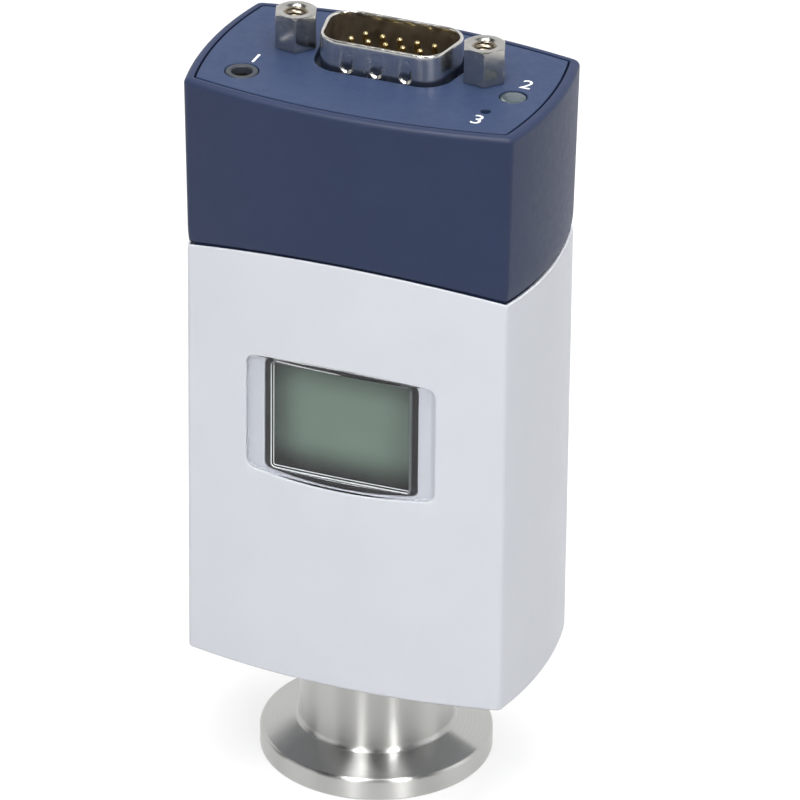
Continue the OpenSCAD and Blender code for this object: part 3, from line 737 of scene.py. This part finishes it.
def make_cap():
    form = Form()
    outer = section()
    edge_r, top_r, lip_r, groove_r, pocket_r = 0.18, 0.8, 0.12, 0.2, 0.45
    groove_g, pocket_g, lip_out, lip_in = -0.76, -0.8, -2.1, -3.3
    lip_top, lip_foot = SEAM_Z + 2, SEAM_Z - SEAM_RISE - 3
    rings = [
        body_ring(section(groove_g, groove_r), 0, lambda x: seam(x, -SEAM_DROP)),
        body_ring(section(groove_g, groove_r), 0, lambda x: seam(x, GROOVE_H)),
    ]
    for a in (0, 30, 60):
        t = math.radians(a)
        rings.append(body_ring(
            outer,
            lambda z, t=t: cap_grow(z) - edge_r * (1 - math.sin(t)),
            lambda x, t=t: seam(x, GROOVE_H + edge_r * (1 - math.cos(t))),
        ))
    # Rings lie closer together where the cap is tucked in
    high = TOP_Z - top_r
    for s in (0, 0.03, 0.06, 0.1, 0.14, 0.19, 0.25, 0.34, 0.45, 0.56, 0.67, 0.78, 0.89, 1):
        rings.append(body_ring(
            outer, cap_grow,
            lambda x, s=s: seam(x, GROOVE_H + edge_r) * (1 - s) + high * s,
        ))
    for a in (15, 30, 45, 60, 75, 90):
        t = math.radians(a)
        rings.append(body_ring(
            outer, CAP_FLARE - top_r * (1 - math.cos(t)), high + top_r * math.sin(t)))
    pocket = section(pocket_g, pocket_r)
    mid = lip_r * ROUND_MID
    for g, drop in ((lip_r, 0), (mid, mid), (0, lip_r), (0, TOP_Z - PLATE_Z)):
        rings.append(body_ring(pocket, g, TOP_Z - drop))
    for g, level in (
        (-CAP_WALL, PLATE_Z), (-CAP_WALL, lip_top), (lip_in, lip_top), (lip_in, lip_foot),
        (lip_out, lip_foot), (lip_out, lambda x: seam(x, -SEAM_DROP)),
    ):
        rings.append(body_ring(section(g, INSIDE_R), 0, level))
    form.stack(rings, closed=True)
    form.build("cap_shell", BLUE, ["cap"])


# Outline of the connector's shell: centres and directions, so that an offset follows it
def shell_path():
    r, half_w, half_h, lean = 2.6, 8.46, 4.18, math.radians(10)
    my = half_h - r
    wx = half_w - r
    nx = wx - 2 * my * math.tan(lean)
    corners = (
        (wx, my, -10, 90, 24), (-wx, my, 90, 190, 6),
        (-nx, -my, 190, 270, 108), (nx, -my, 270, 350, 6),
    )
    out = []
    for i, (x, y, a0, a1, straight) in enumerate(corners):
        for a in steps(a0, a1, 12):
            t = math.radians(a)
            out.append((x, y, math.cos(t), math.sin(t)))
        bx, by = corners[(i + 1) % 4][:2]
        t = math.radians(a1)
        for k in range(1, straight):
            f = k / straight
            out.append((x + (bx - x) * f, y + (by - y) * f, math.cos(t), math.sin(t)))
    return out, r


SHELL_PATH, SHELL_R = shell_path()


def shell_loop(offset, z):
    r = SHELL_R + offset
    return [(x + r * c, CONNECTOR_Y + y + r * s, z) for x, y, c, s in SHELL_PATH]


def flat_loop(outline, z):
    return [(x, y, z) for x, y in outline]


# Top plate with its openings, all edges broken
def make_top_plate():
    form = Form()
    r, plate_g, plate_r, shell_gap = 0.12, -1.05, 0.4, 0.75
    mid = r * ROUND_MID
    levels = [(r, TOP_Z), (mid, TOP_Z - mid), (0, TOP_Z - r), (0, PLATE_Z)]
    base = section(plate_g, plate_r)
    loops = [form.stack([body_ring(base, -d, z) for d, z in levels])]
    loops.append(form.stack([shell_loop(SHELL_T + shell_gap + d, z) for d, z in levels]))
    for centre, radius, n in (
        ((-JACKSCREW_X, CONNECTOR_Y), JACKSCREW_HOLE_R, 48),
        ((JACKSCREW_X, CONNECTOR_Y), JACKSCREW_HOLE_R, 48),
        (JACK, JACK_HOLE_R, 64), (LIGHT, LIGHT_HOLE_R, 64), (ADJUST, ADJUST_HOLE_R, 48),
    ):
        loops.append(form.stack([circle(centre, radius + d, z, n) for d, z in levels]))
    form.fill(*[k[0] for k in loops])
    form.fill(*[k[-1] for k in loops])
    form.build("top_panel", LIT_BLUE, ["top_plate"], angle=15)


# Window lens: curved outside, with a flat plug in the opening whose bevelled edges carry a painted
# highlight
def make_lens():
    form = Form()
    edge, line, bevel, bevel_depth, back = 0.12, 0.09, 0.3, 0.15, LENS_T - 0.04

    def face(inset):
        return window_loop(LENS_W - 2 * inset, LENS_H - 2 * inset, LENS_R - inset, LENS_BOW)

    def plug(inset):
        return window_loop(PLUG_W - 2 * inset, PLUG_H - 2 * inset, PLUG_R - inset, 0)

    front, mid = face(edge), edge * ROUND_MID
    rings = [on_front([(x * k, z * k) for x, z in front], 0) for k in (0.25, 0.5, 0.75, 1)]
    for outline, depth in ((face(mid), mid), (face(0), edge), (face(0), back), (plug(0), back)):
        rings.append(on_front(outline, depth))
    loops = form.stack(rings)
    low = form.stack([
        on_plane(plug(0), PLUG_Y - bevel_depth - line), on_plane(plug(line), PLUG_Y - bevel_depth),
        on_plane(plug(bevel), PLUG_Y - line), on_plane(plug(bevel + line), PLUG_Y)])
    form.bridge(loops[-1], low[0])
    # The painted highlight lies on the two thin lines, and on the bevel between them only at the right
    # and above
    count, margin = len(front), 0.5
    first = len(form.faces) - 4 * count
    form.fan(loops[0], (0, face_y(0), WINDOW_Z))
    form.fan(low[-1], (0, PLUG_Y, WINDOW_Z))
    form.marks.extend(range(first, first + count))
    form.marks.extend(range(first + 2 * count, first + 3 * count))
    for i, (x, z) in enumerate(plug(0)):
        if x > PLUG_W / 2 - margin or z > PLUG_H / 2 - margin:
            form.marks.append(first + count + i)
    form.build("window_lens", CLEAR, ["display_lens"], angle=30, second=EDGE_HIGHLIGHT)


# Display: two glass plates and the front polarising film
def slab(form, w, h, low, high, edge):
    """Upright plate from y low to y high with broken edges."""
    corner_r = max(edge, 0.05)

    def loop(inset, y):
        return on_plane(rectangle(0, 0, w / 2 - inset, h / 2 - inset, corner_r, 3), y)

    loops = form.stack([loop(edge, low), loop(0, low + edge), loop(0, high - edge), loop(edge, high)])
    form.faces.append(tuple(loops[0]))
    form.faces.append(tuple(loops[-1]))


def make_display():
    plates = Form()
    for near, far in ((0.12, 0.95), (1.0, 1.88)):
        slab(plates, PLUG_W, PLUG_H, LCD_Y + near, LCD_Y + far, 0.06)
    plates.build("display_plates", GLASS, ["display_glass"])
    film = Form()
    film_t, film_inset = 0.1, 0.05
    slab(film, PLUG_W - 2 * film_inset, PLUG_H - 2 * film_inset, LCD_Y, LCD_Y + film_t, 0.03)
    film.build("display_film", FILM)


# Frame that holds the glass, with a collar that lines the window's opening
def make_frame():
    form = Form()
    back, seat, collar_depth = CARRIER_Y + CARRIER_T, LCD_Y + LCD_T, LENS_T + 0.08
    gap, corner_r, edge = 0.1, 0.5, 0.15
    inside = window_loop(PLUG_W + 2 * gap, PLUG_H + 2 * gap, 0.3, 0)
    collar = window_loop(OPENING_W - 2 * gap, OPENING_H - 2 * gap, OPENING_R - gap, LENS_BOW)
    outside = window_loop(CARRIER_W, CARRIER_H, corner_r, 0)
    broken = window_loop(CARRIER_W - 2 * edge, CARRIER_H - 2 * edge, corner_r - edge, 0)
    rings = [
        on_plane(inside, seat), on_front(inside, collar_depth), on_front(collar, collar_depth),
        on_plane(collar, CARRIER_Y), on_plane(broken, CARRIER_Y),
        on_plane(outside, CARRIER_Y + edge), on_plane(outside, back),
    ]
    loops = form.stack(rings)
    form.fan(loops[0], (0, seat, WINDOW_Z))
    form.fan(loops[-1], (0, back, WINDOW_Z))
    form.build("display_frame", MATT, ["display_carrier"])


# Connector shell: drawn sheet with a bent root, a rounded rim and three dimples
def smooth(k):
    k = min(1.0, max(0.0, k))
    return k * k * (3 - 2 * k)


def dimple(point):
    x, y, z = point
    front_wall, apart, half, lip, depth = 3.5, 3.9, 0.9, 0.32, 0.3
    low, high = TOP_Z + 0.5, TOP_Z + 2.2
    fade_z, fade_h, fade_share = TOP_Z + 0.2, 1.9, 0.8
    if y > CONNECTOR_Y - front_wall:
        return point
    push = 0.0
    for cx in (-apart, 0, apart):
        away = math.hypot(x - cx, z - min(max(z, low), high))
        push = max(push, depth * smooth((half - away) / lip))
    return (x, y + push * (1 - fade_share * smooth((z - fade_z) / fade_h)), z)


def make_shell():
    form = Form()
    low_z = PLATE_Z - SHELL_T
    bend = 0.5
    rows = []
    for a in (90, 67.5, 45, 22.5, 0):
        t = math.radians(a)
        rows.append((SHELL_T + bend * (1 - math.cos(t)), PLATE_Z + bend * (1 - math.sin(t))))
    rim = SHELL_T / 2
    low, high = TOP_Z - 0.5, TOP_Z + 3.2
    levels = steps(PLATE_Z + bend, low, 3) + steps(low, high, 40)[1:] + [SHELL_TOP_Z - rim]
    rows.extend((SHELL_T, z) for z in levels[1:])
    for a in (30, 60, 90, 120, 150, 180):
        t = math.radians(a)
        rows.append((rim + rim * math.cos(t), SHELL_TOP_Z - rim + rim * math.sin(t)))
    inside = len(rows)
    rows.extend((0, z) for z in levels[-2::-1])
    wide = bend + SHELL_T
    for t in QUARTER:
        rows.append((wide - wide * math.cos(t), PLATE_Z + bend - wide * math.sin(t)))
    loops = form.stack([[dimple(p) for p in shell_loop(d, z)] for d, z in rows])
    # The inside of the shell and its root take the darker nickel: painted shade
    form.mark(inside * len(SHELL_PATH))
    half_w, half_d, corner_r = 15.395, 6.25, 1.2
    sheet = resample(rectangle(0, CONNECTOR_Y, half_w, half_d, corner_r, 6), 2.0)
    edges = [form.stack([flat_loop(sheet, PLATE_Z), flat_loop(sheet, low_z)])]
    for side in (-1, 1):
        centre = (side * JACKSCREW_X, CONNECTOR_Y)
        edges.append(form.stack([circle(centre, JACKSCREW_HOLE_R, z, 48) for z in (PLATE_Z, low_z)]))
    form.fill(loops[0], *[e[0] for e in edges])
    form.fill(loops[-1], *[e[1] for e in edges])
    form.build("connector_sheet", NICKEL, ["connector_shell"], second=SHADED_NICKEL)


# Jackscrews: bevelled hexagons with a real thread in the hole
def make_jackscrews():
    form = Form()
    across_flats, corner_r, turned, shank_r = 5.0, 0.12, -10, 1.4
    hex_r = across_flats / 2 / math.cos(math.radians(30))
    bevel_r = hex_r - 0.4
    slope = math.tan(math.radians(30))
    corners = []
    for k in range(6):
        t = math.radians(60 * k + turned)
        corners.append((hex_r * math.cos(t), hex_r * math.sin(t), corner_r))
    outline = resample(rounded(corners, 3), 0.25)
    pitch, crest, root, deep, mouth, tail, per_turn = 0.635, 1.15, 1.42, 4.2, 0.3, 0.2, 10
    threaded = deep - mouth - tail
    for side in (-1, 1):
        cx, cy = side * JACKSCREW_X, CONNECTOR_Y
        turns = [math.atan2(y, x) for x, y in outline]

        def disc(r, z):
            return [(cx + r * math.cos(t), cy + r * math.sin(t), z) for t in turns]

        def hexagon(z, inset=0.0):
            f = 1 - inset / hex_r
            return [(cx + x * f, cy + y * f, z) for x, y in outline]

        rings = [disc(shank_r, JACKSCREW_LOW_Z), disc(shank_r, TOP_Z)]
        rings += [hexagon(TOP_Z, 0.1), hexagon(TOP_Z + 0.1)]
        bevel = []
        for x, y in outline:
            drop = max(0, math.hypot(x, y) - bevel_r) * slope
            bevel.append((cx + x, cy + y, JACKSCREW_TOP_Z - drop))
        rings.append(bevel)
        for r, drop in ((bevel_r, 0), (1.74, 0), (1.68, 0.03), (1.45, 0.26)):
            rings.append(disc(r, JACKSCREW_TOP_Z - drop))
        # The thread and the hole's end, below the bevelled mouth, take the darker nickel: painted shade
        in_shade = len(form.faces) + (len(rings) - 1) * len(outline)
        count = int(threaded / pitch * per_turn)
        for k in range(count + 1):
            z = JACKSCREW_TOP_Z - mouth - threaded * k / count
            ring = []
            for t in turns:
                phase = (z / pitch - t / (2 * math.pi)) % 1.0
                r = crest + (root - crest) * min(1.0, 1.25 * abs(2 * phase - 1))
                ring.append((cx + r * math.cos(t), cy + r * math.sin(t), z))
            rings.append(ring)
        rings.append(disc(crest, JACKSCREW_TOP_Z - deep))
        loops = form.stack(rings)
        form.fan(loops[-1], (cx, cy, JACKSCREW_TOP_Z - deep - 0.1))
        form.mark(in_shade)
        form.fan(loops[0], (cx, cy, JACKSCREW_LOW_Z))
    form.build("jackscrew_pair", DARKER_NICKEL, ["jackscrews"], angle=30, second=SHADED_NICKEL)


# Flange and tube, turned from one bar
def make_flange():
    form = Form()
    rim_r, rim_h, tube_r, slope = 14.995, 3.0, 9.9, math.tan(math.radians(15))
    bore_r, recess_r, recess_h, neck_r, end_z = 8.0, 8.6, 3.0, 9.0, 24.1
    cone_z = rim_h + (rim_r - tube_r) * slope
    profile = rounded([
        (recess_r, 0, 0.1), (rim_r, 0, 0.35), (rim_r, rim_h, 0.6), (tube_r, cone_z, 0.9),
        (tube_r, NECK_Z, 0.12), (neck_r, NECK_Z, 0), (neck_r, end_z, 0.2), (bore_r, end_z, 0.1),
        (bore_r, recess_h, 0.1), (recess_r, recess_h, 0),
    ], 6)
    lathe(form, profile)
    form.build("turned_flange", STAINLESS, ["sensor_flange"])


# Jack: nose with a rounded mouth on its square body
def make_jack():
    form = Form()
    x, y = JACK
    half, corner_r, low, shoulder, sleeve_z = 2.45, 0.3, 86.0, 93.95, 95.5
    nose_r, mouth_r, seat_r, seat_z = 2.05, 1.3, 1.65, low + 1.2
    square = resample(rectangle(x, y, half, half, corner_r, 4), 0.6)
    box = form.stack([flat_loop(square, low), flat_loop(square, shoulder)])
    form.faces.append(tuple(box[0]))
    nose = rounded([
        (nose_r, shoulder, 0), (nose_r, TOP_Z, 0.2), (mouth_r, TOP_Z, 0.25), (mouth_r, sleeve_z, 0),
        (seat_r, sleeve_z, 0), (seat_r, seat_z, 0),
    ], 4)
    loops = form.stack([circle(JACK, r, z, 96) for r, z in nose])
    form.fill(box[1], loops[0])
    form.fan(loops[-1], (x, y, seat_z))
    form.build("jack_socket", GREY, ["jack_body"])


# Light pipe with a slightly crowned end
def make_light():
    form = Form()
    low, pipe_r = 87.5, 1.65
    rings = [circle(LIGHT, r, z, 96) for r, z in (
        (pipe_r, low), (pipe_r, TOP_Z - 0.25), (1.61, TOP_Z - 0.16), (1.52, TOP_Z - 0.1),
        (1.1, TOP_Z - 0.045), (0.55, TOP_Z - 0.012))]
    loops = form.stack(rings)
    form.fan(loops[0], (*LIGHT, low))
    form.fan(loops[-1], (*LIGHT, TOP_Z))
    form.build("light_guide", LIGHT_PLASTIC, ["light_pipe"])


# Plain numerals printed beside the jack, the light and the adjustment hole
NUMERAL_SIZE, INK_HALF_T, INK_LIFT = 3.3, 0.006, 0.007


def make_numeral(number, centre):
    name = f"numeral_{number}"
    curve = bpy.data.curves.new(name, "FONT")
    curve.body = str(number)
    curve.size = NUMERAL_SIZE * MM
    curve.align_x = "CENTER"
    curve.align_y = "CENTER"
    curve.extrude = INK_HALF_T * MM
    holder = bpy.data.objects.new(name + "_curve", curve)
    bpy.context.scene.collection.objects.link(holder)
    bpy.context.view_layer.update()
    mesh = bpy.data.meshes.new_from_object(holder.evaluated_get(bpy.context.evaluated_depsgraph_get()))
    bpy.data.objects.remove(holder)
    mesh.materials.clear()
    mesh.transform(Matrix.Translation(Vector((*centre, TOP_Z + INK_LIFT)) * MM))
    place(name, mesh, [INK], angle=30)


make_housing()
make_cap()
make_top_plate()
make_lens()
make_display()
make_frame()
make_shell()
make_jackscrews()
make_flange()
make_jack()
make_light()
for number, beside, dx, dy in ((1, JACK, 0.3, 3.7), (2, LIGHT, 0.4, 3.6), (3, ADJUST, -0.1, -2.6)):
    make_numeral(number, (beside[0] + dx, beside[1] + dy))

# Materials of the CAD nodes that stay
KEPT = {
    "backlight": WHITE, "display_board": BOARD,
    "connector_insulator": INSULATOR, "connector_pins": GOLD, "jackscrew_nuts": NICKEL,
    "jack_sleeve": NICKEL, "status_lamp": WHITE, "adjust_switch": BLACK, "adjust_button": BLACK,
    "connector_board": BOARD, "board_strip": BLACK, "main_board": BOARD, "display_strip": BLACK,
    "sensor_board": BOARD, "ring_nut": STEEL, "sensor_header": STEEL, "glass_seals": SEAL,
    "header_pins": GOLD, "filament": TUNGSTEN,
}
for name, material in KEPT.items():
    mesh = nodes[name].data
    mesh.materials.clear()
    mesh.materials.append(material)

# Floor, white to the eye and to reflections, that keeps the shadow
scene = bpy.context.scene
FLOOR_SIZE, FLOOR_GLOW = 3.0, 0.72
floor_form = bmesh.new()
bmesh.ops.create_grid(floor_form, x_segments=8, y_segments=8, size=FLOOR_SIZE)
floor_mesh = bpy.data.meshes.new("floor")
floor_form.to_mesh(floor_mesh)
floor_form.free()
floor = bpy.data.objects.new("floor", floor_mesh)
scene.collection.objects.link(floor)
floor_look = Look("floor_paper", (0.26, 0.26, 0.26), 0.9, Specular_IOR_Level=0.0)
floor_look.tint(floor_look.noise(60, 3), (0.25, 0.25, 0.25), (0.27, 0.27, 0.27))
glow = floor_look.math("MULTIPLY", floor_look.seen_directly(), FLOOR_GLOW)
floor_look.set("Emission Color", (1, 1, 1, 1))
floor_look.link(glow, floor_look.shader.inputs["Emission Strength"])
floor_mesh.materials.append(floor_look.mat)

# World: pale studio, white where it is seen
AMBIENT = 0.26
world = bpy.data.worlds.new("studio")
world.use_nodes = True
scene.world = world
studio = Nodes(world.node_tree)
_, toward_back, toward_top = studio.split(studio.add("ShaderNodeTexCoord").outputs["Generated"])
# Reflections meet a pale room behind the object, a dark one before it and a dark ceiling
ceiling = studio.ramp(toward_top, 0.66, 0.86, 0.95, 0.1)
behind = studio.ramp(toward_back, -0.15, 0.25, 0.06, 1.0)
room = studio.math("MULTIPLY", ceiling, behind)
mirrored = studio.mix(studio.add("ShaderNodeLightPath").outputs["Is Glossy Ray"], 1.0, room)
level = studio.mix(studio.seen_directly(), AMBIENT, mirrored)
background = world.node_tree.nodes["Background"]
background.inputs["Color"].default_value = (1, 1, 1, 1)
studio.link(level, background.inputs["Strength"])

# Lamps, all at one distance
LAMP_DISTANCE, LAMP_AIM = 1.2, Vector((0, 0, 0.05))


def direction(azimuth, elevation):
    """Unit vector from degrees. Azimuth 0 stands before the display, 90 to its right."""
    a, e = math.radians(azimuth), math.radians(elevation)
    return Vector((math.sin(a) * math.cos(e), -math.cos(a) * math.cos(e), math.sin(e)))


def lamp(name, azimuth, elevation, size_x, size_y, power):
    """Soft box that looks at the object."""
    light = bpy.data.lights.new(name, "AREA")
    light.shape = "RECTANGLE"
    light.size = size_x
    light.size_y = size_y
    light.energy = power
    out = direction(azimuth, elevation)
    obj = bpy.data.objects.new(name, light)
    obj.location = LAMP_AIM + out * LAMP_DISTANCE
    obj.rotation_euler = out.to_track_quat("Z", "Y").to_euler()
    scene.collection.objects.link(obj)
    return obj


# Wide lamps that reflections don't show
for lamp_name, where, height, power in (
    ("soft_top", 180, 80, 12.5), ("soft_back", 180, 30, 4), ("soft_front", 20, 45, 5.6),
):
    lamp(lamp_name, where, height, 1.0, 1.0, power).visible_glossy = False
# Lamps that light and show
lamp("soft_right", 100, 25, 0.8, 0.8, 1.8)
lamp("soft_left", -55, 15, 0.8, 0.8, 2)
lamp("strip_front", -0.5, 45, 0.18, 2.0, 6)
lamp("strip_right", 47.5, 45, 0.18, 2.0, 4.5)
# Narrow lamps that only reflections show, for the streaks on the steel cone
for lamp_name, where, height, power in (("glint_front", -20, 70, 8), ("glint_right", 51, 48, 9)):
    lamp(lamp_name, where, height, 0.12, 0.4, power).visible_diffuse = False

# Camera at the photograph's place
CAMERA_AZIMUTH, CAMERA_ELEVATION, CAMERA_ROLL = 21.29, 28.681, 0.603
CAMERA_DISTANCE, CAMERA_LENS, SENSOR_WIDTH = 992.66, 355.481, 36.0
AIM_Z, SHIFT_RIGHT, SHIFT_DOWN = 55.0, 2.59, 4.35
back_dir = direction(CAMERA_AZIMUTH, CAMERA_ELEVATION)
right = (-back_dir).cross(Vector((0, 0, 1))).normalized()
up = right.cross(-back_dir)
eye = Vector((0, 0, AIM_Z)) + back_dir * CAMERA_DISTANCE + right * SHIFT_RIGHT - up * SHIFT_DOWN
roll = math.radians(CAMERA_ROLL)
right, up = right * math.cos(roll) + up * math.sin(roll), up * math.cos(roll) - right * math.sin(roll)
camera_data = bpy.data.cameras.new("camera")
camera_data.lens = CAMERA_LENS
camera_data.sensor_width = SENSOR_WIDTH
camera = bpy.data.objects.new("camera", camera_data)
scene.collection.objects.link(camera)
turn = Matrix((right, up, back_dir)).transposed().to_4x4()
camera.matrix_world = Matrix.Translation(eye * MM) @ turn
scene.camera = camera
scene.view_settings.view_transform = "Standard"
